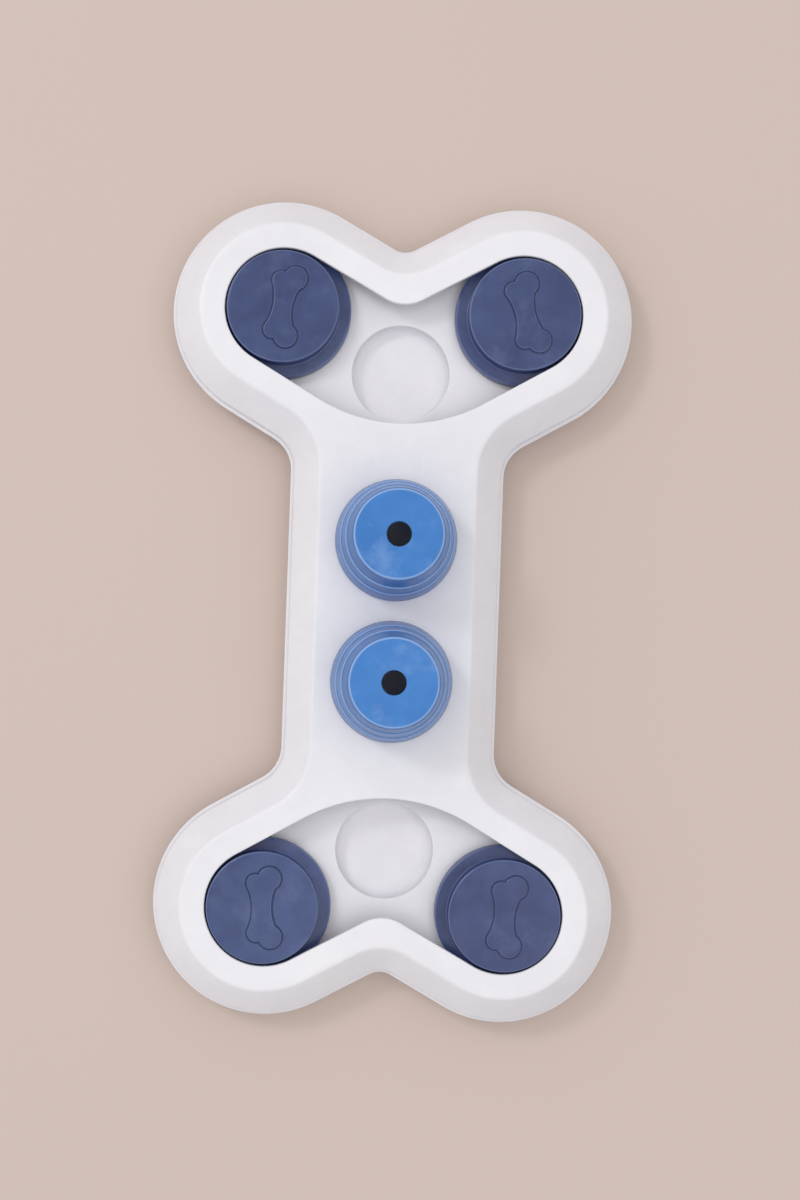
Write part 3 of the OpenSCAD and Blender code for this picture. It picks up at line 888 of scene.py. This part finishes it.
# %% Pucks
PUCKS = {"puck_top_left": -8.5, "puck_top_right": 14.5,       # degrees that each bone is turned
         "puck_bottom_left": 2.5, "puck_bottom_right": -4.7}
flange_r = (puck_high.x - puck_low.x) / 2
hollow_r, hollow_z = knob_r - puck_wall, knob_top - puck_wall
for name, turn in PUCKS.items():
    low, high = box_mm(name)
    x, y = (low.x + high.x) / 2, (low.y + high.y) / 2
    body = turn_piece(name, [
        (face_r, knob_top, 0), (knob_r, knob_top, 0.8), (knob_r, flange_top, 0.5),
        (flange_r, flange_top, 0.9), (flange_r, low.z, 0.4), (hollow_r, low.z, 0.4),
        (hollow_r, hollow_z, 1.5), (0, hollow_z, 0)], puck_plastic, x, y)
    face = Moulding(name + "_face")
    edge = face.ring(circle(x, y)(face_r), knob_top)
    foot, top = face.sweep(emblem(x, y, turn), [
        (1.1, knob_top, 0), (0.75, knob_top, 0.2), (0.55, groove_z, 0.1), (0.12, groove_z, 0.1),
        (0, knob_top + emblem_h, 0.45), (-0.8, knob_top + emblem_h, 0)], 5)
    face.floor(edge, foot)
    face.floor(top)
    make_piece(name + "_shell", puck_plastic, name, [name], body, face.mesh())

# %% [markdown]
# The toy stands on six grey rubber feet, and six screws with cross-shaped recesses hold the tray to
# the cover. They only show from below, but they are what makes the underside believable. An Array
# modifier needs even steps, which these places don't have, so the scatter tree sets them out.

# %% Feet and screws
foot = turn_piece("foot", [
    (0, foot_high.z, 0), (foot_r, foot_high.z, 0.2), (foot_r, 0, 0.7), (0, 0, 0)],
    foot_rubber, segments=72, steps=4)
make_piece("rubber_feet", foot_rubber, "housing", FEET, set_out(foot, feet, foot_rubber))


def cross(d):
    """A cross with arms 0.9 mm wide, moved outwards by d."""
    tip, flank = 1.8 + d, 0.45 + d
    arm = [(tip, -flank), (tip, flank), (flank, flank)]
    return [point for angle in (0, pi / 2, pi, 3 * pi / 2) for point in turned(arm, angle)]


screw = Moulding("screw")
face_z, end_z = head_z - head_h, screw_high.z
rim, tip = screw.sweep(circle(0, 0), [
    (head_r - 0.9, face_z, 0), (head_r, face_z, 0.7), (head_r, head_z, 0.15), (screw_r, head_z, 0.2),
    (screw_r, end_z - 1, 0.2), (0.6, end_z, 0)], 3)
screw.floor(tip)
recess, bottom = screw.sweep(cross, [(0, face_z, 0), (-0.1, face_z + 1, 0)])
screw.floor(rim, recess)
screw.floor(bottom)
make_piece("case_screw_set", screw_steel, "housing", ["case_screws"],
           set_out(screw.mesh(), screws, screw_steel))

# %% [markdown]
# The photograph has the soft light of a room with a window: bright from above, a little more from
# the upper left, and dim from the sides. Here the world gives the room's light, brightest overhead
# and a little towards the window, and two soft lamps give the rest. Together they light a level
# surface so that its colour comes out about as written. What the camera sees of the world is a
# plain pale background, and the plastics mirror the same one.

# %% Light
def lamp(name, place, watts, size):
    """A square soft light that looks at the toy. Its place and size are in metres."""
    data = bpy.data.lights.new(name, "AREA")
    data.energy, data.size = watts, size
    obj = bpy.data.objects.new(name, data)
    obj.location = place
    obj.rotation_euler = (-Vector(place)).to_track_quat("-Z", "Y").to_euler()
    bpy.context.scene.collection.objects.link(obj)


lamp("window", (-0.95, 0.7, 1.35), 5.2, 0.35)
lamp("room", (0.7, -0.4, 1.6), 4.5, 1.6)
world = bpy.data.worlds.new("room")
world.use_nodes = True
bpy.context.scene.world = world
background = world.node_tree.nodes["Background"]
direction = add_node(world.node_tree, "ShaderNodeTexCoord", out="Generated")
brightest = (-0.2, 0.13, 0.97)  # overhead, and a little towards the window
sockets = {0: direction, 1: brightest}
nearness = direction.node("ShaderNodeVectorMath", {"operation": "DOT_PRODUCT"}, sockets, "Value")
dim, bright = (0.22, 0.22, 0.23, 1), (1.05, 1.04, 1.03, 1)
light = nearness.between(-0.25, 0.95).mix(dim, bright)
rays = ("Is Camera Ray", "Is Glossy Ray", "Is Transmission Ray")
seen = sum(direction.node("ShaderNodeLightPath", out=ray) for ray in rays)
link(background, "Color", seen.mix(light, paint(236, 233, 229)))
bpy.context.scene.view_settings.view_transform = "Standard"
print("lamps:", len(bpy.data.lights))

# %% [markdown]
# The floor is a plain pale one in the tone of the photographed wood. It is round, because the far
# edge of a square one would look like a tilted horizon in views from the side.

# %% Floor
floor_r = 8                     # metres
floor_look, shader, _ = start_material("floor")
shader.inputs["Base Color"].default_value = paint(200, 183, 174)
shader.inputs["Roughness"].default_value = 0.7
disc = circle(0, 0)(floor_r)
floor_mesh = bpy.data.meshes.new("floor")
floor_mesh.from_pydata([(x, y, 0) for x, y in disc], [], [range(len(disc))])
floor_mesh.materials.append(floor_look)
floor = bpy.data.objects.new("floor", floor_mesh)
bpy.context.scene.collection.objects.link(floor)
print("floor:", 2 * floor_r, "m across")

# %% [markdown]
